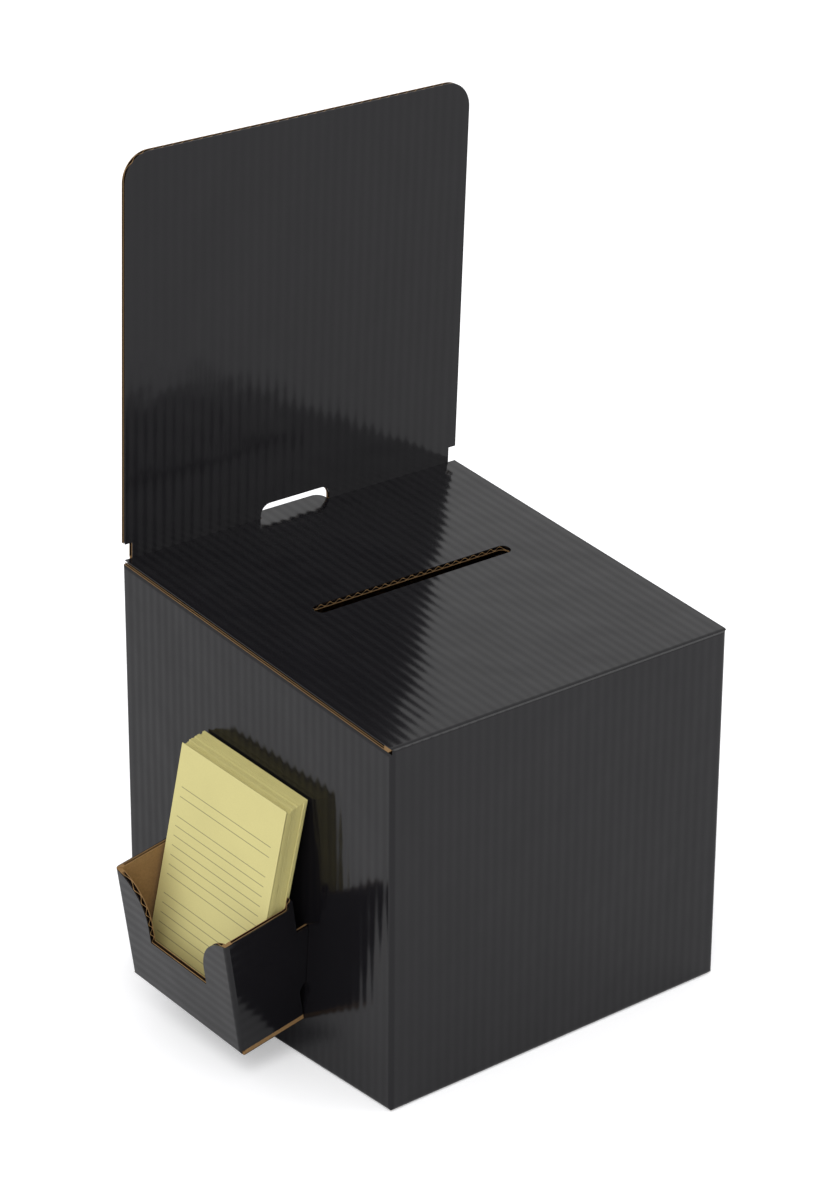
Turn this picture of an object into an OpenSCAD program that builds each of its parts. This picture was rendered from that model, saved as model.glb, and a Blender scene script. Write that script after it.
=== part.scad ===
// Folded corrugated ballot box with a sloping lid, a display header on the
// lid's back edge and a hooked-on pocket of slips.
// Millimetres. X runs along the front, the front faces -Y, Z is up.
// The origin is the centre of the base, on the surface the box stands on.

/* [Body] */
// Width of the box along the front
box_w = 235; // [220:1:250]
// Depth of the box from front to back
box_d = 229; // [222:1:240]
// Height of the lid's top surface at the front fold
front_h = 211; // [200:1:225]
// Height of the lid's plane above the back face
back_h = 241; // [236:1:250]
// Thickness of the corrugated board
board = 3; // [2.6:0.1:3.2]
// Outer radius of a folded edge
fold_r = 2.5; // [1.5:0.1:2.6]

/* [Corrugation] */
// Distance from one flute to the next
flute_pitch = 6.35; // [5.8:0.05:7.9]
// Thickness of a liner sheet
liner = 0.45; // [0.3:0.05:0.6]
// Thickness of the wavy middle sheet
medium = 0.35; // [0.25:0.05:0.5]

/* [Ballot slot] */
// Length of the slot in the lid, end to end
slot_l = 138; // [120:1:150]
// Width of the slot in the lid
slot_w = 8.5; // [7:0.5:10]
// Distance of the slot's centre line from the lid's front fold
slot_s = 131; // [110:1:150]
// Offset of the slot's middle to the right of the lid's middle
slot_x = 6; // [0:1:12]

/* [Header] */
// Height of the header above its fold
header_h = 229; // [200:1:260]
// Radius of the header's two top corners
header_r = 16; // [8:1:30]
// Forward lean of the header from upright
header_lean = 2.5; // [0:0.5:6]
// Width of the relief cut at each end of the header's fold
notch_w = 5; // [3:0.5:8]
// Height of the relief cut above the fold
notch_h = 9; // [6:0.5:12]
// Width of the lid's tongue
tongue_w = 47; // [30:1:70]
// Length of the lid's tongue past the header's fold
tongue_l = 7.5; // [5:0.5:10]

/* [Flaps] */
// Width of the dust flaps under the lid
dust_w = 33; // [20:1:34]
// Width of the glued seam flap inside the back wall
glue_w = 36; // [25:1:45]
// Reach of the two side bottom flaps
side_flap_l = 75; // [60:1:75]
// Width of the front bottom flap's locking tongue
lock_w = 84; // [60:1:84]

/* [Pocket] */
// Outer width of the pocket
pocket_w = 97.7; // [94:0.1:105]
// Outer depth of the pocket
pocket_d = 41.9; // [40:0.1:50]
// Height of the pocket's walls
pocket_h = 74.3; // [70:0.1:85]
// Radius of the rounded ears beside the pocket's cut-out
ear_r = 28; // [20:1:32]
// Width left beside the cut-out, from fold to edge
ear_w = 24.2; // [20:0.1:26]
// Height of the cut-out's bottom edge
cut_h = 35.7; // [28:0.1:42]
// Outward lean of the hung pocket
pocket_lean = 11.3; // [9:0.1:12]
// Askew turn of the hung pocket in the plane of its wall
pocket_askew = 4.7; // [0:0.1:5]
// Position of the pocket's front bottom corner, front to back
pocket_y = -41.6; // [-60:0.1:-20]
// Height of that corner above the ground
pocket_z = 24.1; // [20:0.1:40]

/* [Slips] */
// Width of a paper slip
slip_w = 88.9; // [85:0.1:90]
// Length of a paper slip
slip_l = 137.5; // [120:0.5:138]
// Thickness of the whole stack
stack_t = 14; // [8:0.5:14]

/* [Hidden] */
$fn = 64;

big = 600;
slack = 0.4;
black = "#1d1d20";
kraft = "#a98a5e";
yellow = "#ded68f";

// Lid slope, and the line of the fold between lid and header
slope = atan((back_h - front_h) / box_d);
crease_y = box_d / 2 - board;
crease_z = front_h + (crease_y + box_d / 2) * tan(slope);
lid_l = (crease_y + box_d / 2) / cos(slope);
// Drop from the lid's top surface to the outer corner of the side walls
lid_drop = board / cos(slope);
back_top = crease_z - board - 0.6;

// Header outline
hole_gap = 1;
hole_w = tongue_w + 2 * hole_gap;
hole_h = tongue_l + 0.5;

// Bottom flaps: each lies one or more boards above the outermost one
step_start = 4;
step_run = 4;
front_flap_reach = box_d / 2 + 4;
lock_rise = 18;
lock_l = 30;
back_flap_edge = front_flap_reach + lock_rise + 0.5;

// Pocket tabs
tab_low = 23;
tab_high = 57;
tab_in = 6;
foot_w = 40;
hook_h = 80.5;
hook_out = 3.5;

// Slips: lean against the wall, with their feet on the pocket's floor
foot_gap = 0.8;
floor_gap = 0.25;
foot_out = pocket_d - board - foot_gap;
foot = [
    -foot_out * cos(pocket_lean) - (board + floor_gap) * sin(pocket_lean),
    -foot_out * sin(pocket_lean) + (board + floor_gap) * cos(pocket_lean)
];
floor_step = 1 / cos(9 + pocket_lean);
stack_back = foot[0] + stack_t * floor_step * cos(pocket_lean);
slip_lean = asin((-stack_back - 0.9) / slip_l);
slip_side = (pocket_w - slip_w) / 2;
front_slip_t = 0.6;
bundles = 7;
// Small shifts of the bundles sideways and along their length
fan_side = [0.3, -0.7, 0.5, 1.1, -0.4, 0.9, -0.9];
fan_up = [-0.8, 0.6, -0.3, -1.4, 0.4, -0.9, 0];

// Section of a panel, outer face on y = 0. a and b are the inside angles of
// the folds at its two ends, or 0 for a raw cut end.
module section(len, a, b) {
    difference() {
        polygon([[0, 0], [mitre(a), -board], [len - mitre(b), -board], [len, 0]]);
        if (a > 0) fold_round(a);
        if (b > 0) translate([len, 0]) mirror([1, 0]) fold_round(b);
    }
}

function mitre(a) = a > 0 ? board / tan(a / 2) : 0;

// What a fold's outer radius takes off a sharp corner at the origin
module fold_round(a) {
    c = fold_r / tan(a / 2);
    difference() {
        polygon([[-board, 1], [c, 1], [c, -fold_r], [-board, -fold_r]]);
        translate([c, -fold_r]) circle(r = fold_r);
    }
}

// Flat panel with its outer face up, folds = [left, right, low, high]
module panel(w, h, folds) {
    intersection() {
        translate([0, h, 0]) rotate([90, 0, 0]) linear_extrude(height = h)
            section(w, folds[0], folds[1]);
        rotate([90, 0, 90]) linear_extrude(height = w)
            section(h, folds[2], folds[3]);
    }
}

// Air channels of the corrugation along +Y, across a width w: a triangular
// space with curved sides on each face of the wavy middle sheet
module flutes(w, l) {
    count = ceil(w / flute_pitch) + 1;
    rotate([90, 0, 0]) mirror([0, 0, 1]) linear_extrude(height = l)
        for (i = [-1:count]) translate([i * flute_pitch, 0]) {
            polygon([for (k = channel_turns) channel_point(k, 1)]);
            translate([flute_pitch / 2, 0])
                polygon([for (k = channel_turns) channel_point(k, -1)]);
        }
}

channel_turns = [24, 62, 112, 180, 248, 298, 336];
wave = (board - 2 * liner - medium) / 2;
function channel_point(turn, side) = [
    flute_pitch * (turn - 90) / 360,
    -board / 2 + side * (abs(turn - 180) > 150 ? wave + medium / 2 : wave * cos(turn) + medium / 2)
];

// Frames of the panels: x along the panel, y up it, z out of its outer face
module on_front() { translate([-box_w / 2, -box_d / 2, 0]) rotate([90, 0, 0]) children(); }
module on_left() { translate([-box_w / 2, box_d / 2, 0]) rotate([90, 0, -90]) children(); }
module on_right() { translate([box_w / 2, -box_d / 2, 0]) rotate([90, 0, 90]) children(); }
module on_back() { translate([box_w / 2, box_d / 2, 0]) rotate([90, 0, 180]) children(); }
module on_lid() { translate([-box_w / 2, -box_d / 2, front_h]) rotate([slope, 0, 0]) children(); }
module on_header() {
    translate([-box_w / 2, crease_y, crease_z]) rotate([90 + header_lean, 0, 0]) children();
}
module in_pocket_plane() {
    translate([-box_w / 2, pocket_y, pocket_z]) rotate([pocket_askew, 0, 0]) children();
}
module in_pocket() { in_pocket_plane() rotate([0, -pocket_lean, 0]) children(); }

module front_wall() {
    color(black) on_front() panel(box_w, front_h, [90, 90, 90, 90 + slope]);
}

// Side wall in its own frame, seen from outside with the back at x = 0.
// depth is its length between folds, and shift moves it along x.
module side_wall(depth, shift) {
    intersection() {
        translate([shift, 0, 0]) panel(depth, back_h + 20, [90, 90, 90, 0]);
        // The sloping top fold, with the dust flap
        translate([0, back_h - lid_drop, 0]) rotate([0, 0, -slope]) translate([-big / 2, -big, 0])
            rotate([90, 0, 90]) linear_extrude(height = big) section(big, 0, 90);
    }
}

module left_wall() {
    color(black) difference() {
        on_left() side_wall(box_d, 0);
        in_pocket() tabs(slack);
    }
}

module right_wall() {
    color(black) mirror([1, 0, 0]) on_left() side_wall(box_d - board, board);
}

module back_wall() {
    color(black) on_back() panel(box_w, back_top, [0, 90, 90, 0]);
}

// Seam flap folded off the right wall and glued inside the back wall
module glue_flap() {
    low = 14;
    high = 224;
    taper = 12;
    color(kraft) translate([0, -board, 0]) on_back() intersection() {
        panel(glue_w, back_top, [90, 0, 0, 0]);
        translate([0, 0, -big / 2]) linear_extrude(height = big)
            polygon([[0, low], [glue_w, low + taper], [glue_w, high - taper], [0, high]]);
    }
}

module lid() {
    color(black) on_lid() difference() {
        intersection() {
            rotate([90, 0, 90]) linear_extrude(height = box_w)
                section(lid_l + tongue_l, 90 + slope, 0);
            translate([0, 0, -board]) linear_extrude(height = board) lid_outline();
        }
        translate([0, board + 3, 0]) flutes(box_w, lid_l + tongue_l);
        translate([box_w / 2 + slot_x, slot_s, -board - 1]) linear_extrude(height = board + 2)
            slot_outline();
    }
}

module lid_outline() {
    square([box_w, lid_l]);
    translate([(box_w - tongue_w) / 2, lid_l - 1]) round_top(tongue_w, tongue_l + 1, 6);
}

module slot_outline() {
    half = (slot_l - slot_w) / 2;
    square([2 * half, slot_w], center = true);
    for (side = [-1, 1]) translate([side * half, 0]) circle(d = slot_w);
}

// Rectangle whose two top corners are round
module round_top(w, h, r) {
    square([w, h - r]);
    translate([r, 0]) square([w - 2 * r, h]);
    for (x = [r, w - r]) translate([x, h - r]) circle(r = r);
}

module header() {
    color(black) on_header() difference() {
        translate([0, 0, -board]) linear_extrude(height = board) header_outline();
        flutes(box_w, header_h);
    }
}

module header_outline() {
    difference() {
        round_top(box_w, header_h, header_r);
        for (x = [-1, box_w - notch_w]) translate([x, -1]) square([notch_w + 1, notch_h + 1]);
        translate([(box_w - hole_w) / 2, -2]) round_top(hole_w, hole_h + 2, 6.5);
    }
}

// The liner that bends round the back of the fold between lid and header
module header_crease() {
    half = (box_w - hole_w) / 2 - notch_w;
    color(kraft) for (x = [-box_w / 2 + notch_w, hole_w / 2])
        translate([x, crease_y, crease_z]) rotate([90, 0, 90]) linear_extrude(height = half)
            difference() {
                circle(r = board);
                rotate(header_lean) translate([-big / 2, 0]) square([big, big / 2]);
                rotate(slope - 180) translate([0, -big / 2]) square([big / 2, big]);
            }
}

// Dust flap folded off the left wall under the lid
module dust_flap() {
    start = 7;
    end = lid_l - 5;
    on_lid() translate([0, 0, -board]) intersection() {
        panel(dust_w, lid_l, [90, 0, 0, 0]);
        translate([0, 0, -big / 2]) linear_extrude(height = big)
            polygon([[0, start], [dust_w, start + dust_w * 1.1], [dust_w, end - 9], [0, end]]);
    }
}

module left_dust_flap() { color(black) dust_flap(); }
module right_dust_flap() { color(black) mirror([1, 0, 0]) dust_flap(); }

// Section of a bottom flap that steps up by a number of boards past its fold
module stepped_section(len, steps) {
    rise = steps * board;
    run = steps * step_run;
    difference() {
        polygon([
            [0, 0], [step_start, 0], [step_start + run, -rise], [len, -rise],
            [len, -rise - board], [step_start + run, -rise - board], [step_start, -board], [board, -board]
        ]);
        fold_round(90);
    }
}

// Bottom flap off the front wall, lowest of the four. Its tongue climbs
// between the side flaps and tucks in over the back flap.
module front_bottom_flap() {
    reach = front_flap_reach;
    wide = box_w - 2 * (step_start + step_run + 0.5);
    end = reach + lock_rise + lock_l;
    color(black) translate([0, -box_d / 2, 0]) intersection() {
        rotate([-90, 0, -90]) translate([0, 0, -box_w / 2]) linear_extrude(height = box_w)
            mirror([1, 0]) difference() {
                polygon([
                    [0, 0], [reach, 0], [reach + lock_rise, -3 * board], [end, -3 * board],
                    [end, -4 * board], [reach + lock_rise, -4 * board], [reach, -board], [board, -board]
                ]);
                fold_round(90);
            }
        translate([0, 0, -1]) linear_extrude(height = 5 * board) {
            translate([-wide / 2, 0]) square([wide, reach - 14]);
            translate([-lock_w / 2 - 20, 1]) round_top(lock_w + 40, reach - 1, 12);
            translate([-lock_w / 2, 1]) round_top(lock_w, end - 1, 14);
        }
    }
}

module back_bottom_flap() {
    len = box_d - back_flap_edge;
    wide = box_w - 2 * board - 2;
    color(black) mirror([0, 1, 0]) translate([0, -box_d / 2, 0]) intersection() {
        rotate([-90, 0, -90]) translate([0, 0, -box_w / 2]) linear_extrude(height = box_w)
            mirror([1, 0]) stepped_section(len, 2);
        translate([0, 0, -1]) linear_extrude(height = 4 * board)
            polygon([[-wide / 2, 0], [wide / 2, 0], [wide / 2 - 8, len], [-wide / 2 + 8, len]]);
    }
}

module side_bottom_flap() {
    front_edge = -box_d / 2 + board + 1;
    back_edge = box_d / 2 - step_start - 2 * step_run - 1;
    taper = 26;
    color(black) translate([-box_w / 2, 0, 0]) intersection() {
        rotate([-90, 0, 0]) translate([0, 0, -box_d / 2]) linear_extrude(height = box_d)
            stepped_section(side_flap_l, 1);
        translate([0, 0, -1]) linear_extrude(height = 3 * board) polygon([
            [0, front_edge], [side_flap_l, front_edge + taper],
            [side_flap_l, back_edge - taper], [0, back_edge]
        ]);
    }
}

module left_bottom_flap() { side_bottom_flap(); }
module right_bottom_flap() { mirror([1, 0, 0]) side_bottom_flap(); }

// Pocket, in a frame whose x = 0 is the wall's face and whose -X is outward
module pocket_front() {
    color(black) in_pocket() translate([-pocket_d, pocket_w, 0]) rotate([90, 0, -90]) difference() {
        panel(pocket_w, pocket_h, [90, 90, 90, 0]);
        translate([0, 0, -board - 1]) linear_extrude(height = board + 2) pocket_cut();
        translate([pocket_w - board - 2, board + 2, 0]) rotate(90)
            flutes(pocket_h, pocket_w - 2 * board - 4);
    }
}

// The cut-out between the two rounded ears
module pocket_cut() {
    centre = ear_w - ear_r;
    high = pocket_h - ear_r;
    difference() {
        translate([centre, cut_h]) square([pocket_w - 2 * centre, pocket_h]);
        for (x = [centre, pocket_w - centre]) {
            translate([x, high]) circle(r = ear_r);
            translate([x - ear_r, 0]) square([2 * ear_r, high]);
        }
    }
}

// Side of the pocket with the tab that passes through its wall
module pocket_side() {
    translate([-pocket_d, 0, 0]) rotate([90, 0, 0]) difference() {
        union() {
            intersection() {
                panel(pocket_d + board, pocket_h, [90, 0, 0, 0]);
                translate([0, board, -big / 2]) linear_extrude(height = big)
                    square([pocket_d, pocket_h]);
            }
            translate([pocket_d, 0, -board]) linear_extrude(height = board) side_hook();
        }
        translate([pocket_d + 2 * board + 20, board + 2, 0]) rotate(90)
            flutes(pocket_h + 10, pocket_d + board + 18);
    }
}

// Tab and upturned ear on the back edge of a pocket side
module side_hook() {
    wall_out = tan(pocket_lean);
    deep = board / cos(pocket_lean) + tab_in;
    polygon([
        [-1, tab_low - 5], [hook_out, tab_low],
        [wall_out * tab_low + deep - 2, tab_low], [wall_out * tab_low + deep, tab_low + 3],
        [wall_out * tab_high + deep, tab_high - 4], [wall_out * tab_high + deep - 4, tab_high],
        [hook_out, tab_high], [hook_out, hook_h - 1.5], [hook_out - 1, hook_h],
        [hook_out - 2, hook_h - 2], [hook_out - 2.6, pocket_h + 1.5], [0, pocket_h + 0.4],
        [-1.5, pocket_h], [-1.5, tab_low]
    ]);
}

module pocket_right_side() { color(black) in_pocket() pocket_side(); }
module pocket_left_side() {
    color(black) in_pocket() translate([0, pocket_w, 0]) mirror([0, 1, 0]) pocket_side();
}

module pocket_bottom() {
    color(black) in_pocket() {
        translate([-pocket_d, 0, 0]) rotate([-90, 0, 0]) linear_extrude(height = pocket_w)
            section(pocket_d, 90, 0);
        foot_tab(0);
    }
}

// Tab on the back edge of the pocket's bottom
module foot_tab(gap) {
    deep = board / cos(pocket_lean) + tab_in;
    translate([0, (pocket_w - foot_w) / 2 - gap, -gap]) linear_extrude(height = board + 2 * gap)
        polygon([
            [-0.5, 0], [deep - 3, 0], [deep, 4], [deep, foot_w + 2 * gap - 4],
            [deep - 3, foot_w + 2 * gap], [-0.5, foot_w + 2 * gap]
        ]);
}

// Room for the pocket's three tabs, cut through the wall they hook into
module tabs(gap) {
    run = 40;
    for (y = [-gap, pocket_w - board - gap])
        translate([-run / 2, y, tab_low - gap])
            cube([run, board + 2 * gap, tab_high - tab_low + 2 * gap]);
    translate([-run / 2, (pocket_w - foot_w) / 2 - gap, -gap])
        cube([run, foot_w + 2 * gap, board + 2 * gap]);
}

// One bundle of slips between two distances behind the stack's front
module bundle(near, far, side, up) {
    along = [sin(slip_lean), cos(slip_lean)];
    low = [for (n = [near, far]) foot + n / cos(slip_lean + pocket_lean) * [cos(pocket_lean), sin(pocket_lean)]];
    in_pocket_plane() translate([0, slip_side + slip_w + side, 0]) rotate([90, 0, 0])
        linear_extrude(height = slip_w)
            polygon([low[0], low[1], low[1] + (slip_l + up) * along, low[0] + (slip_l + up) * along]);
}

module slip_stack() {
    first = front_slip_t + 0.3;
    pitch = (stack_t - first) / bundles;
    color(yellow) for (i = [0:bundles - 1])
        bundle(first + i * pitch, first + (i + 1) * pitch - 0.12, fan_side[i], fan_up[i]);
}

module front_slip() { color(yellow) bundle(0, front_slip_t, -0.6, 0); }

front_wall();
left_wall();
right_wall();
back_wall();
glue_flap();
lid();
header();
header_crease();
left_dust_flap();
right_dust_flap();
front_bottom_flap();
back_bottom_flap();
left_bottom_flap();
right_bottom_flap();
pocket_front();
pocket_left_side();
pocket_right_side();
pocket_bottom();
slip_stack();
front_slip();
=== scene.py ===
"""Ballot box of corrugated board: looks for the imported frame."""

import math
import random

import bpy
from bpy.props import FloatProperty, FloatVectorProperty, IntProperty, PointerProperty
from mathutils import Matrix, Vector


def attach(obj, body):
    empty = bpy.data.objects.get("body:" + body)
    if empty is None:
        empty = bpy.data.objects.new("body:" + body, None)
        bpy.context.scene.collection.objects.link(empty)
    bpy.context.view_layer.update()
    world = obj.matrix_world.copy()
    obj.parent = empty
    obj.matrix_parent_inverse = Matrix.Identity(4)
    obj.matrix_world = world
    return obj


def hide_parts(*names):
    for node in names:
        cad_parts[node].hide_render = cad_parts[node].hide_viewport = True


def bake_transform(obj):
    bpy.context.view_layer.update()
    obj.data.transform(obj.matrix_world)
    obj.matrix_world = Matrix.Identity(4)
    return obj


bl_info = {
    "name": "Ballot box",
    "version": (1, 0, 0),
    "blender": (4, 5, 0),
    "location": "3D View > Sidebar > Ballot box",
    "description": "Dresses the packed ballot box with board, paper and a plain studio",
    "category": "Object",
}

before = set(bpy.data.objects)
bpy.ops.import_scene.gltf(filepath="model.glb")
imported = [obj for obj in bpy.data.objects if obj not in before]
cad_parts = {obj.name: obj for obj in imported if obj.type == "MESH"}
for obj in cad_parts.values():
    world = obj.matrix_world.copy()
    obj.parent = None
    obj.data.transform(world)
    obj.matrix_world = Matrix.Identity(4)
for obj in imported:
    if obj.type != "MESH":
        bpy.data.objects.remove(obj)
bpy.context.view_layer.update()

# Box and lid as the part has them, in metres and degrees
HALF_W = 0.1175
HALF_D = 0.1145
FRONT_H = 0.211
LID_RISE = 0.030
SLOPE = math.degrees(math.atan(LID_RISE / (2 * HALF_D)))

# Corrugated board, its liner, and how deep the lamination reaches round an edge
BOARD = 0.003
LINER = 0.0004
LAMINATION_REACH = 0.00046

# Fold between lid and header: its axis, the gap at each end, half the tongue's opening, its angles
CREASE = Vector((0, 0.1115, 0.240607))
CREASE_GAP = 0.005
CREASE_OPENING = 0.0245
CREASE_FROM = -82.5
CREASE_SWEEP = 85
HEADER_LEAN = 2.5

# Pocket on the left wall: its corner, its leans, its depth and its width
POCKET_AT = Vector((-0.1175, -0.0416, 0.0241))
POCKET_LEAN = 11.3
POCKET_ASKEW = 4.7
POCKET_D = 0.0419
POCKET_W = 0.0977

# Slips: their lean, the gaps from their foot to the pocket's front and floor, and the fan's seed
SLIP_LEAN = 9.4
FRONT_GAP = 0.0008
FLOOR_GAP = 0.00025
FAN_SEED = 7

# Ruled part of the front slip, in metres from the pocket's corner: each edge fades over a pair
RULED_RIGHT = (0.0105, 0.0108)
RULED_LEFT = (0.0875, 0.0872)
RULED_TOP = (0.1105, 0.1095)

# Lights: the point that they face, where each one stands, and its side
BOX_MIDDLE = Vector((0, 0, 0.2))
KEY_AT = Vector((-1.6, -1.2, 2.2))
KEY_SIDE = 1.4
FILL_AT = Vector((1.8, -1.8, 1.2))
FILL_SIDE = 1.2

# Camera: what it looks at and from where, in metres and degrees, and its picture in pixels
CAMERA_TARGET = Vector((-0.0015, 0, 0.2298))
CAMERA_DISTANCE = 1.9848
CAMERA_AZIMUTH = 40.339
CAMERA_ELEVATION = 23.29
CAMERA_ROLL = 0.397
PICTURE_H_PX = 1200
FOCAL_PX = 3677.9
SHIFT_X_PX = -13.7
SHIFT_Y_PX = -12.5
SENSOR_MM = 36.0


def turn(axis, degrees):
    return Matrix.Rotation(math.radians(degrees), 4, axis)


BOX_FRAME = Matrix.Identity(4)
LID_FRAME = Matrix.Translation((0, -HALF_D, FRONT_H)) @ turn("X", SLOPE)
HEADER_FRAME = Matrix.Translation(CREASE) @ turn("X", 90 + HEADER_LEAN)
SLIP_FRAME = Matrix.Translation(POCKET_AT) @ turn("X", POCKET_ASKEW)
POCKET_FRAME = SLIP_FRAME @ turn("Y", -POCKET_LEAN)


def panel_face(matrix, point, normal, flute):
    """A point on a panel's outer face, its outward normal and its flutes' direction."""
    rotation = matrix.to_3x3()
    return matrix @ Vector(point), rotation @ Vector(normal), rotation @ Vector(flute)


LAMINATED_PANELS = {
    "front_wall": panel_face(BOX_FRAME, (0, -HALF_D, 0), (0, -1, 0), (0, 0, 1)),
    "back_wall": panel_face(BOX_FRAME, (0, HALF_D, 0), (0, 1, 0), (0, 0, 1)),
    "left_wall": panel_face(BOX_FRAME, (-HALF_W, 0, 0), (-1, 0, 0), (0, 0, 1)),
    "right_wall": panel_face(BOX_FRAME, (HALF_W, 0, 0), (1, 0, 0), (0, 0, 1)),
    "lid": panel_face(LID_FRAME, (0, 0, 0), (0, 0, 1), (0, 1, 0)),
    "header": panel_face(HEADER_FRAME, (0, 0, 0), (0, 0, 1), (0, 1, 0)),
    "left_dust_flap": panel_face(LID_FRAME, (0, 0, -BOARD), (0, 0, 1), (1, 0, 0)),
    "right_dust_flap": panel_face(LID_FRAME, (0, 0, -BOARD), (0, 0, 1), (1, 0, 0)),
    "front_bottom_flap": panel_face(BOX_FRAME, (0, 0, 0), (0, 0, -1), (0, 1, 0)),
    "back_bottom_flap": panel_face(BOX_FRAME, (0, 0, 2 * BOARD), (0, 0, -1), (0, 1, 0)),
    "left_bottom_flap": panel_face(BOX_FRAME, (0, 0, BOARD), (0, 0, -1), (1, 0, 0)),
    "right_bottom_flap": panel_face(BOX_FRAME, (0, 0, BOARD), (0, 0, -1), (1, 0, 0)),
    "pocket_front": panel_face(POCKET_FRAME, (-POCKET_D, 0, 0), (-1, 0, 0), (0, 1, 0)),
    "pocket_right_side": panel_face(POCKET_FRAME, (0, 0, 0), (0, -1, 0), (1, 0, 0)),
    "pocket_left_side": panel_face(POCKET_FRAME, (0, POCKET_W, 0), (0, 1, 0), (1, 0, 0)),
    "pocket_bottom": panel_face(POCKET_FRAME, (0, 0, 0), (0, 0, -1), (0, 1, 0)),
}

# The direction across the upright flutes of the bare seam flap and of the header fold's liner
BARE_FLUTES_ACROSS = Vector((1, 0, 0))


class Graph:
    """Short calls for building a node tree."""

    def __init__(self, tree):
        self.tree = tree

    def add(self, kind, **values):
        node = self.tree.nodes.new(kind)
        for key, value in values.items():
            setattr(node, key, value)
        return node

    def feed(self, socket, value):
        if isinstance(value, bpy.types.NodeSocket):
            self.tree.links.new(value, socket)
        else:
            socket.default_value = value

    def place(self, group, values):
        """Puts a shader group in this tree, with a value or a link for each of its inputs."""
        node = self.add("ShaderNodeGroup", node_tree=group)
        for label, value in values.items():
            self.feed(node.inputs[label], value)
        return node.outputs

    def math(self, operation, *values):
        node = self.add("ShaderNodeMath", operation=operation)
        for socket, value in zip(node.inputs, values):
            self.feed(socket, value)
        return node.outputs[0]

    def dot(self, a, b):
        node = self.add("ShaderNodeVectorMath", operation="DOT_PRODUCT")
        self.feed(node.inputs[0], a)
        self.feed(node.inputs[1], b)
        return node.outputs["Value"]

    def fade(self, value, start, end):
        """0 up to the start, 1 from the end, and soft between them."""
        node = self.add("ShaderNodeMapRange", interpolation_type="SMOOTHSTEP")
        self.feed(node.inputs["Value"], value)
        node.inputs["From Min"].default_value = start
        node.inputs["From Max"].default_value = end
        return node.outputs["Result"]

    def noise(self, spot, scale, detail):
        node = self.add("ShaderNodeTexNoise")
        self.feed(node.inputs["Vector"], spot)
        self.feed(node.inputs["Scale"], scale)
        node.inputs["Detail"].default_value = detail
        return node.outputs["Fac"]

    def mix(self, share, a, b):
        """Colour a where the share is 0, and b where it is 1."""
        node = self.add("ShaderNodeMix", data_type="RGBA")
        # A mix node's colour sockets come after those for numbers and vectors
        colour_a, colour_b, result = 6, 7, 2
        self.feed(node.inputs[0], share)
        self.feed(node.inputs[colour_a], a)
        self.feed(node.inputs[colour_b], b)
        return node.outputs[result]

    def tones(self, share, colour, darkest, lightest):
        """One colour, times a factor that goes from the darkest to the lightest."""
        dark = (*[c * darkest for c in colour], 1)
        light = (*[c * lightest for c in colour], 1)
        return self.mix(share, dark, light)

    def bump(self, height, distance, shader):
        node = self.add("ShaderNodeBump")
        node.inputs["Strength"].default_value = 1.0
        node.inputs["Distance"].default_value = distance
        self.feed(node.inputs["Height"], height)
        self.feed(shader.inputs["Normal"], node.outputs["Normal"])


def shader_group(name, vectors, numbers, results, build):
    """A shader group with named inputs and outputs, built the first time it is asked for."""
    tree = bpy.data.node_groups.get(name)
    if tree is None:
        tree = bpy.data.node_groups.new(name, "ShaderNodeTree")
        for label in vectors:
            tree.interface.new_socket(label, in_out="INPUT", socket_type="NodeSocketVector")
        for label in numbers:
            tree.interface.new_socket(label, in_out="INPUT", socket_type="NodeSocketFloat")
        for label in results:
            tree.interface.new_socket(label, in_out="OUTPUT", socket_type="NodeSocketFloat")
        g = Graph(tree)
        taken = g.add("NodeGroupInput").outputs
        given = g.add("NodeGroupOutput").inputs
        for label, value in build(g, taken).items():
            g.feed(given[label], value)
    return tree


def build_grain(g, taken):
    """Fine fibres, and broad clouds of tone."""
    fibre_detail, cloud_detail = 4.0, 2.0
    return {
        "Fibre": g.noise(taken["Spot"], taken["Fibre scale"], fibre_detail),
        "Cloud": g.noise(taken["Spot"], taken["Cloud scale"], cloud_detail),
    }


def grain_group():
    numbers = ["Fibre scale", "Cloud scale"]
    return shader_group("paper_grain", ["Spot"], numbers, ["Fibre", "Cloud"], build_grain)


def build_laminated_face(g, taken):
    """1 on a panel's outer liner and round its folds, 0 on its back and cut edges."""
    edge_on, face_on = 0.45, 0.55
    along_normal = g.dot(taken["Spot"], taken["Panel normal"])
    height = g.math("SUBTRACT", along_normal, taken["Panel offset"])
    outer_liner = g.fade(height, -LAMINATION_REACH, -LINER)
    facing = g.dot(taken["Surface normal"], taken["Panel normal"])
    return {"Laminated": g.math("MAXIMUM", outer_liner, g.fade(facing, edge_on, face_on))}


def laminated_face_group():
    vectors = ["Spot", "Surface normal", "Panel normal"]
    numbers = ["Panel offset"]
    return shader_group("laminated_face", vectors, numbers, ["Laminated"], build_laminated_face)


def build_washboard(g, taken):
    """Height in metres of a liner that sinks between the flutes, with its clouds and fibres."""
    wobble_scale, wobble_detail, wobble = 14.0, 2.0, 1.4
    cloud_depth, fibre_depth = 0.0009, 0.00002
    flutes = g.math("DIVIDE", 2 * math.pi, taken["Pitch"])
    phase = g.math("MULTIPLY", g.dot(taken["Spot"], taken["Across"]), flutes)
    drift = g.math("MULTIPLY", g.noise(taken["Spot"], wobble_scale, wobble_detail), wobble)
    wave = g.math("SINE", g.math("ADD", phase, drift))
    height = g.math("MULTIPLY", wave, taken["Depth"])
    height = g.math("ADD", height, g.math("MULTIPLY", taken["Cloud"], cloud_depth))
    bare_fibre = g.math("MULTIPLY", taken["Fibre"], taken["Bare"])
    return {"Height": g.math("ADD", height, g.math("MULTIPLY", bare_fibre, fibre_depth))}


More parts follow.
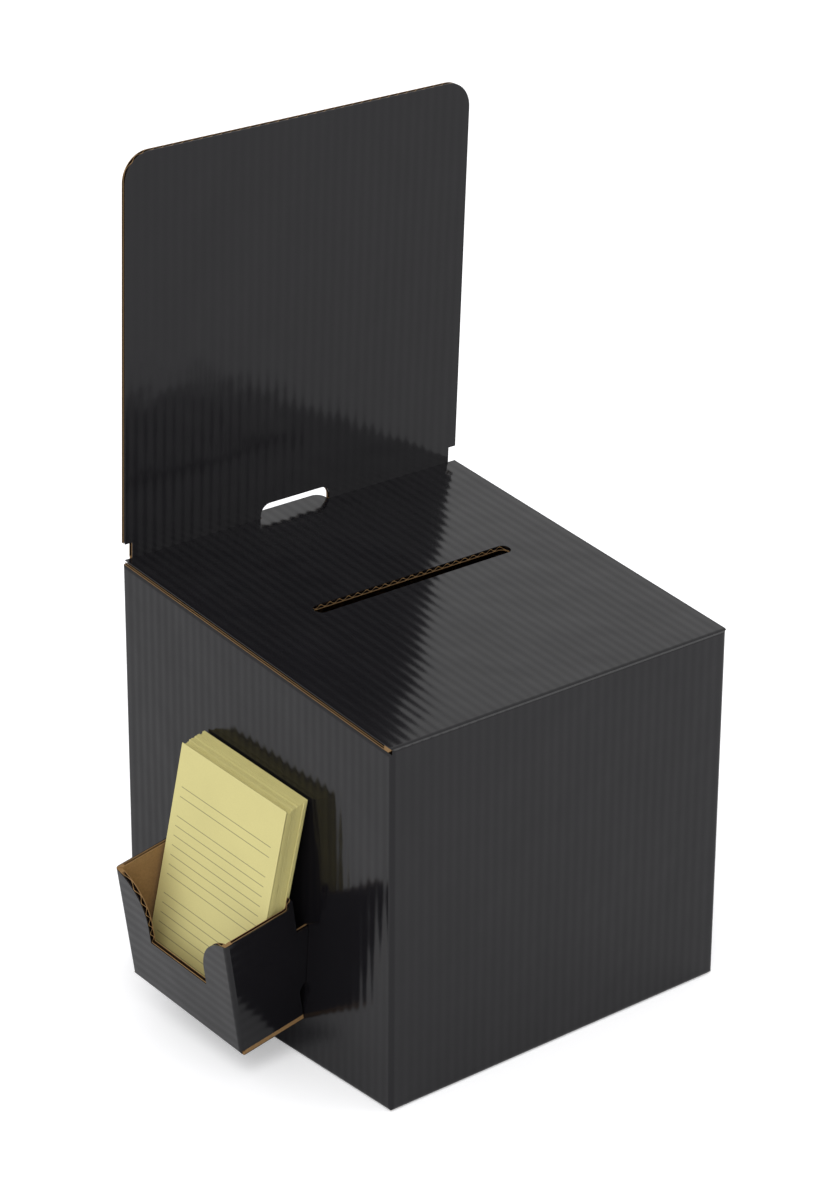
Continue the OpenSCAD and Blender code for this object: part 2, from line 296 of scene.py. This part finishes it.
def washboard_group():
    numbers = ["Pitch", "Depth", "Cloud", "Fibre", "Bare"]
    return shader_group("washboard", ["Spot", "Across"], numbers, ["Height"], build_washboard)


def new_material(name):
    material = bpy.data.materials.new(name)
    material.use_nodes = True
    return material, Graph(material.node_tree), material.node_tree.nodes["Principled BSDF"]


def board_grain(g, spot):
    return g.place(grain_group(), {"Spot": spot, "Fibre scale": 900.0, "Cloud scale": 22.0})


def kraft_tones(g, board, grain):
    darkest, lightest = 0.72, 1.2
    return g.tones(grain["Fibre"], board.kraft, darkest, lightest)


def wave_liner(g, shader, board, spot, flutes_across, grain, bare):
    """Washboard relief on a board's surface, with fibres where it is bare."""
    relief = {
        "Spot": spot,
        "Across": flutes_across,
        "Pitch": board.flute_pitch,
        "Depth": board.washboard,
        "Cloud": grain["Cloud"],
        "Fibre": grain["Fibre"],
        "Bare": bare,
    }
    true_height = 1.0
    g.bump(g.place(washboard_group(), relief)["Height"], true_height, shader)


def laminated_board(name, panel, board):
    """Glossy lamination on a panel's outer face, plain kraft on its back and cut edges."""
    point, normal, flute = panel
    darkest, lightest = 0.85, 1.25
    coat, coat_roughness = 0.05, 0.08
    material, g, shader = new_material(name)
    coordinates = g.add("ShaderNodeTexCoord").outputs
    spot = coordinates["Object"]
    grain = board_grain(g, spot)
    face = {
        "Spot": spot,
        "Surface normal": coordinates["Normal"],
        "Panel normal": normal,
        "Panel offset": point.dot(normal),
    }
    laminated = g.place(laminated_face_group(), face)["Laminated"]
    film = g.tones(grain["Cloud"], board.film, darkest, lightest)
    g.feed(shader.inputs["Base Color"], g.mix(laminated, kraft_tones(g, board, grain), film))
    change = board.film_roughness - board.kraft_roughness
    roughness = g.math("MULTIPLY_ADD", laminated, change, board.kraft_roughness)
    g.feed(shader.inputs["Roughness"], roughness)
    g.feed(shader.inputs["Coat Weight"], g.math("MULTIPLY", laminated, coat))
    shader.inputs["Coat Roughness"].default_value = coat_roughness
    shader.inputs["Specular IOR Level"].default_value = board.reflection
    bare = g.math("SUBTRACT", 1.0, laminated)
    wave_liner(g, shader, board, spot, normal.cross(flute), grain, bare)
    return material


def bare_board(name, board):
    """Kraft liner without lamination."""
    material, g, shader = new_material(name)
    spot = g.add("ShaderNodeTexCoord").outputs["Object"]
    grain = board_grain(g, spot)
    g.feed(shader.inputs["Base Color"], kraft_tones(g, board, grain))
    shader.inputs["Roughness"].default_value = board.kraft_roughness
    shader.inputs["Specular IOR Level"].default_value = board.reflection
    wave_liner(g, shader, board, spot, BARE_FLUTES_ACROSS, grain, 1.0)
    return material


def ruled_lines(g, spot, slips):
    """Strength of the ink of plain writing lines, kept inside the slip's margins."""
    rows_per_group, faint = 8, 0.6
    line_fade, blank_fade = (0.91, 0.93), (0.14, 0.15)
    axes = SLIP_FRAME.to_3x3()
    up = axes @ Vector((0, 0, 1))
    side = axes @ Vector((0, 1, 0))
    rise = g.math("SUBTRACT", g.dot(spot, up), POCKET_AT.dot(up))
    along = g.math("SUBTRACT", g.dot(spot, side), POCKET_AT.dot(side))
    margin = g.math("MULTIPLY", g.fade(along, *RULED_RIGHT), g.fade(along, *RULED_LEFT))
    row = g.math("FRACT", g.math("DIVIDE", rise, slips.line_gap))
    ink = g.math("MULTIPLY", g.fade(row, *line_fade), margin)
    ink = g.math("MULTIPLY", ink, g.fade(rise, *RULED_TOP))
    # One line in eight is left out, which parts the lines into groups
    group = g.math("FRACT", g.math("DIVIDE", rise, rows_per_group * slips.line_gap))
    ink = g.math("MULTIPLY", ink, g.fade(group, *blank_fade))
    return g.math("MULTIPLY", ink, faint)


def slip_paper(name, slips, ruled):
    """Uncoated coloured paper, with writing lines where it is ruled."""
    darkest, lightest = 0.88, 1.1
    ink_colour = (0.03, 0.03, 0.03, 1)
    roughness, fibre_height = 0.82, 0.00008
    material, g, shader = new_material(name)
    spot = g.add("ShaderNodeTexCoord").outputs["Object"]
    grain = g.place(grain_group(), {"Spot": spot, "Fibre scale": 1400.0, "Cloud scale": 30.0})
    half_fibre = g.math("MULTIPLY", grain["Fibre"], 0.5)
    half_cloud = g.math("MULTIPLY", grain["Cloud"], 0.5)
    tone = g.math("ADD", half_fibre, half_cloud)
    colour = g.tones(tone, slips.paper, darkest, lightest)
    if ruled:
        colour = g.mix(ruled_lines(g, spot, slips), colour, ink_colour)
    g.feed(shader.inputs["Base Color"], colour)
    shader.inputs["Roughness"].default_value = roughness
    g.bump(grain["Fibre"], fibre_height, shader)
    return material


def mesh_object(name, vertices, faces, material):
    mesh = bpy.data.meshes.new(name)
    mesh.from_pydata([tuple(v) for v in vertices], [], faces)
    mesh.validate()
    mesh.update()
    mesh.materials.append(material)
    obj = bpy.data.objects.new(name, mesh)
    bpy.context.scene.collection.objects.link(obj)
    return obj


def joined(parts):
    """One list of vertices and one of faces, from several pairs of them."""
    vertices, faces = [], []
    for part_vertices, part_faces in parts:
        start = len(vertices)
        vertices += part_vertices
        faces += [tuple(start + index for index in corners) for corners in part_faces]
    return vertices, faces


class BoardSettings(bpy.types.PropertyGroup):
    film: FloatVectorProperty(
        name="Lamination",
        description="Colour of the printed outer face",
        subtype="COLOR",
        size=3,
        default=(0.006, 0.0056, 0.0068),
    )
    kraft: FloatVectorProperty(
        name="Kraft",
        description="Colour of the bare board",
        subtype="COLOR",
        size=3,
        default=(0.25, 0.145, 0.058),
    )
    film_roughness: FloatProperty(
        name="Lamination roughness",
        description="Roughness of the printed outer face",
        subtype="FACTOR",
        min=0.05,
        max=0.6,
        default=0.14,
    )
    kraft_roughness: FloatProperty(
        name="Kraft roughness",
        description="Roughness of the bare board",
        subtype="FACTOR",
        min=0.4,
        max=1.0,
        default=0.85,
    )
    reflection: FloatProperty(
        name="Board shine",
        description="How strongly the board mirrors what is round it",
        subtype="FACTOR",
        min=0.0,
        max=1.0,
        default=0.27,
    )
    flute_pitch: FloatProperty(
        name="Flute pitch",
        description="Distance between flutes",
        unit="LENGTH",
        min=0.004,
        max=0.01,
        default=0.00635,
    )
    washboard: FloatProperty(
        name="Washboard",
        description="Depth of the liner's waves",
        unit="LENGTH",
        min=0.0,
        max=0.0002,
        default=0.00003,
    )


class SlipSettings(bpy.types.PropertyGroup):
    paper: FloatVectorProperty(
        name="Paper",
        description="Colour of the slips",
        subtype="COLOR",
        size=3,
        default=(0.63, 0.57, 0.24),
    )
    line_gap: FloatProperty(
        name="Line gap",
        description="Distance between the ruled lines",
        unit="LENGTH",
        min=0.004,
        max=0.02,
        default=0.0057,
    )
    width: FloatProperty(name="Width", description="Width of a slip", unit="LENGTH", default=0.0889)
    length: FloatProperty(name="Length", description="Length of a slip", unit="LENGTH", default=0.1375)
    stack: FloatProperty(name="Stack", description="Thickness of the stack", unit="LENGTH", default=0.014)
    sheets: IntProperty(name="Sheets", description="Sheets in the stack", min=10, max=90, default=56)
    bundle: IntProperty(name="Bundle", description="Sheets that stay together", min=2, max=20, default=7)


class StageSettings(bpy.types.PropertyGroup):
    floor: FloatVectorProperty(
        name="Floor",
        description="Colour of the floor",
        subtype="COLOR",
        size=3,
        default=(0.9, 0.9, 0.9),
    )
    key: FloatProperty(name="Key light", description="Power of the left light", unit="POWER", default=26.0)
    fill: FloatProperty(name="Fill light", description="Power of the right light", unit="POWER", default=8.0)


class BALLOT_OT_board(bpy.types.Operator):
    """Gives every panel its lamination, kraft back and washboard relief"""

    bl_idname = "ballot.board"
    bl_label = "Board panels"

    def execute(self, context):
        board = context.scene.ballot_board
        finishes = {"glue_flap": bare_board("board_glue_flap", board)}
        for name, panel in LAMINATED_PANELS.items():
            finishes[name] = laminated_board(f"board_{name}", panel, board)
        for name, material in finishes.items():
            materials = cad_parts[name].data.materials
            materials.clear()
            materials.append(material)
        return {"FINISHED"}


def crease_strip(low, high, flute_pitch):
    """A strip of liner rolled round the fold from low to high, rippled by the flutes."""
    rows, steps = 60, 12
    inset, ripple = 0.00015, 0.00012
    vertices, faces = [], []
    for i in range(rows + 1):
        x = low + (high - low) * i / rows
        radius = BOARD - inset + ripple * math.cos(2 * math.pi * x / flute_pitch)
        for k in range(steps + 1):
            angle = math.radians(CREASE_FROM + CREASE_SWEEP * k / steps)
            rolled = Vector((x, math.cos(angle) * radius, math.sin(angle) * radius))
            vertices.append(CREASE + rolled)
    for i in range(rows):
        for k in range(steps):
            a = i * (steps + 1) + k
            faces.append((a, a + steps + 1, a + steps + 2, a + 1))
    return vertices, faces


class BALLOT_OT_crease(bpy.types.Operator):
    """Rolls the liner round the back of the fold between lid and header"""

    bl_idname = "ballot.crease"
    bl_label = "Header fold"

    def execute(self, context):
        board = context.scene.ballot_board
        outer_end = HALF_W - CREASE_GAP
        left = crease_strip(-outer_end, -CREASE_OPENING, board.flute_pitch)
        right = crease_strip(CREASE_OPENING, outer_end, board.flute_pitch)
        skin = mesh_object("crease_liner", *joined([left, right]), bare_board("board_crease", board))
        thickness = skin.modifiers.new("thickness", "SOLIDIFY")
        thickness.thickness = LINER
        thickness.offset = 1.0
        for polygon in skin.data.polygons:
            polygon.use_smooth = True
        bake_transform(skin)
        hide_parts("header_crease")
        return {"FINISHED"}


def sheet_faces(rows, columns):
    """Faces of a thin sheet: a front and a back grid of points, closed round the rim."""
    layer = (rows + 1) * (columns + 1)

    def at(side, i, j):
        return side * layer + i * (columns + 1) + j

    faces = []
    for i in range(rows):
        for j in range(columns):
            faces.append((at(0, i, j), at(0, i + 1, j), at(0, i + 1, j + 1), at(0, i, j + 1)))
            faces.append((at(1, i, j), at(1, i, j + 1), at(1, i + 1, j + 1), at(1, i + 1, j)))
    for i in range(rows):
        for j in (0, columns):
            faces.append((at(0, i, j), at(1, i, j), at(1, i + 1, j), at(0, i + 1, j)))
    for j in range(columns):
        for i in (0, rows):
            faces.append((at(0, i, j), at(0, i, j + 1), at(1, i, j + 1), at(1, i, j)))
    return faces


def slip_sheet(slips, near, thick, side, up, curl=0.0):
    """A slip that stands in the pocket and leans back, near metres behind the front one."""
    rows, columns = 12, 4
    right_curl, left_curl = 0.4, 1.0
    pocket_lean, slip_lean = math.radians(POCKET_LEAN), math.radians(SLIP_LEAN)
    inward = Vector((math.cos(pocket_lean), 0, math.sin(pocket_lean)))
    off_floor = Vector((-math.sin(pocket_lean), 0, math.cos(pocket_lean)))
    foot = off_floor * (BOARD + FLOOR_GAP) - inward * (POCKET_D - BOARD - FRONT_GAP)
    foot += inward * (near / math.cos(pocket_lean + slip_lean))
    foot += Vector((0, (POCKET_W - slips.width) / 2 + side, 0))
    along = Vector((math.sin(slip_lean), 0, math.cos(slip_lean)))
    out = Vector((-along.z, 0, along.x))
    vertices = []
    for depth in (0.0, thick):
        for i in range(rows + 1):
            t = i / rows
            for j in range(columns + 1):
                s = j / columns
                bend = curl * t * t * (right_curl + (left_curl - right_curl) * s)
                across = Vector((0, slips.width * s, 0))
                point = foot + along * (slips.length + up) * t + across + out * (bend - depth)
                vertices.append(SLIP_FRAME @ point)
    return vertices, sheet_faces(rows, columns)


class BALLOT_OT_slip_stack(bpy.types.Operator):
    """Fans the stack of slips as separate sheets that lean on the wall"""

    bl_idname = "ballot.slip_stack"
    bl_label = "Slip stack"

    def execute(self, context):
        slips = context.scene.ballot_slips
        rng = random.Random(FAN_SEED)
        # The first sheet's distance behind the front slip, in metres
        first = 0.0009
        # The gap after a bundle and a sheet's thickness, as shares of the distance between sheets
        parting, solid = 0.9, 0.7
        # How far bundles shift sideways and sink, and how far each sheet slips in its bundle
        bundle_side, bundle_sink, sheet_jog = 0.0011, 0.0018, 0.0002
        pitch = (slips.stack - first) / (slips.sheets + parting * slips.sheets / slips.bundle)
        sheets = []
        for i in range(slips.sheets):
            if i % slips.bundle == 0:
                side = rng.uniform(-bundle_side, bundle_side)
                up = rng.uniform(-bundle_sink, 0.0)
            jog = rng.uniform(-sheet_jog, sheet_jog)
            near = first + (i + parting * (i // slips.bundle)) * pitch
            sheets.append(slip_sheet(slips, near, pitch * solid, side + jog, up + jog))
        edges = slip_paper("paper_edges", slips, ruled=False)
        stack = mesh_object("slip_sheets", *joined(sheets), edges)
        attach(stack, "slips")
        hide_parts("slip_stack")
        return {"FINISHED"}


class BALLOT_OT_front_slip(bpy.types.Operator):
    """Stands the ruled slip in front of the stack, curling forward a little at its top"""

    bl_idname = "ballot.front_slip"
    bl_label = "Front slip"

    def execute(self, context):
        slips = context.scene.ballot_slips
        near, thick, side, up, curl = 0.0, 0.0004, -0.0006, 0.0, 0.0012
        sheet = slip_sheet(slips, near, thick, side, up, curl)
        front = mesh_object("front_sheet", *sheet, slip_paper("paper_ruled", slips, ruled=True))
        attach(front, "front_slip")
        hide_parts("front_slip")
        return {"FINISHED"}


def add_floor(stage):
    half_side, gap_below_box = 6.0, 0.0002
    roughness, glow = 0.6, 0.35
    black, white = (0, 0, 0, 1), (1, 1, 1, 1)
    material, g, shader = new_material("floor_white")
    shader.inputs["Base Color"].default_value = (*stage.floor, 1)
    shader.inputs["Roughness"].default_value = roughness
    # Lifts the floor to white for the camera only, so the shadow stays and the panels stay dark
    seen = g.add("ShaderNodeLightPath").outputs["Is Camera Ray"]
    g.feed(shader.inputs["Emission Color"], g.mix(seen, black, white))
    shader.inputs["Emission Strength"].default_value = glow
    corners = [(-1, -1), (1, -1), (1, 1), (-1, 1)]
    vertices = [(x * half_side, y * half_side, 0) for x, y in corners]
    floor = mesh_object("floor", vertices, [(0, 1, 2, 3)], material)
    floor.location.z = -gap_below_box


def add_world(scene):
    """White where the camera, a reflection or clear material sees it, and paler as a light."""
    as_light, as_seen = (0.85, 0.85, 0.87, 1), (1, 1, 1, 1)
    world = bpy.data.worlds.new("studio")
    world.use_nodes = True
    g = Graph(world.node_tree)
    background = world.node_tree.nodes["Background"]
    path = g.add("ShaderNodeLightPath").outputs
    seen = g.math("MAXIMUM", path["Is Camera Ray"], path["Is Glossy Ray"])
    seen = g.math("MAXIMUM", seen, path["Is Transmission Ray"])
    g.feed(background.inputs["Color"], g.mix(seen, as_light, as_seen))
    background.inputs["Strength"].default_value = 1.0
    scene.world = world


def add_light(scene, name, at, side, power):
    """A square light that faces the middle of the box."""
    light = bpy.data.lights.new(name, "AREA")
    light.shape = "RECTANGLE"
    light.size = side
    light.size_y = side
    light.energy = power
    obj = bpy.data.objects.new(name, light)
    obj.location = at
    obj.rotation_euler = (BOX_MIDDLE - at).to_track_quat("-Z", "Y").to_euler()
    scene.collection.objects.link(obj)


def add_camera(scene):
    azimuth, elevation = math.radians(CAMERA_AZIMUTH), math.radians(CAMERA_ELEVATION)
    left = math.sin(azimuth) * math.cos(elevation)
    forward = math.cos(azimuth) * math.cos(elevation)
    away = Vector((-left, -forward, math.sin(elevation)))
    camera = bpy.data.objects.new("camera", bpy.data.cameras.new("camera"))
    camera.location = CAMERA_TARGET + away * CAMERA_DISTANCE
    aim = (-away).to_track_quat("-Z", "Y").to_matrix().to_4x4()
    camera.rotation_euler = (aim @ turn("Z", CAMERA_ROLL)).to_euler()
    camera.data.sensor_fit = "VERTICAL"
    camera.data.sensor_height = SENSOR_MM
    camera.data.lens = FOCAL_PX / PICTURE_H_PX * SENSOR_MM
    camera.data.shift_x = SHIFT_X_PX / PICTURE_H_PX
    camera.data.shift_y = SHIFT_Y_PX / PICTURE_H_PX
    scene.collection.objects.link(camera)
    scene.camera = camera


class BALLOT_OT_stage(bpy.types.Operator):
    """Sets the white floor, the soft lights and the camera"""

    bl_idname = "ballot.stage"
    bl_label = "Stage"

    def execute(self, context):
        scene = context.scene
        stage = scene.ballot_stage
        scene.view_settings.view_transform = "Standard"
        add_floor(stage)
        add_world(scene)
        add_light(scene, "key", KEY_AT, KEY_SIDE, stage.key)
        add_light(scene, "fill", FILL_AT, FILL_SIDE, stage.fill)
        add_camera(scene)
        return {"FINISHED"}


SETTINGS = {
    "ballot_board": BoardSettings,
    "ballot_slips": SlipSettings,
    "ballot_stage": StageSettings,
}
OPERATORS = (
    BALLOT_OT_board,
    BALLOT_OT_crease,
    BALLOT_OT_slip_stack,
    BALLOT_OT_front_slip,
    BALLOT_OT_stage,
)


class BALLOT_PT_panel(bpy.types.Panel):
    """Lists the ballot box's settings and steps"""

    bl_idname = "BALLOT_PT_panel"
    bl_label = "Ballot box"
    bl_space_type = "VIEW_3D"
    bl_region_type = "UI"
    bl_category = "Ballot box"

    def draw(self, context):
        for name, settings in SETTINGS.items():
            for key in settings.__annotations__:
                self.layout.prop(getattr(context.scene, name), key)
        for operator in OPERATORS:
            self.layout.operator(operator.bl_idname)


CLASSES = (*SETTINGS.values(), *OPERATORS, BALLOT_PT_panel)


def register():
    for cls in CLASSES:
        bpy.utils.register_class(cls)
    for name, settings in SETTINGS.items():
        setattr(bpy.types.Scene, name, PointerProperty(type=settings))


def unregister():
    for name in SETTINGS:
        delattr(bpy.types.Scene, name)
    for cls in reversed(CLASSES):
        bpy.utils.unregister_class(cls)


def main():
    register()
    bpy.ops.ballot.board()
    bpy.ops.ballot.crease()
    bpy.ops.ballot.slip_stack()
    bpy.ops.ballot.front_slip()
    bpy.ops.ballot.stage()


if __name__ == "__main__":
    main()
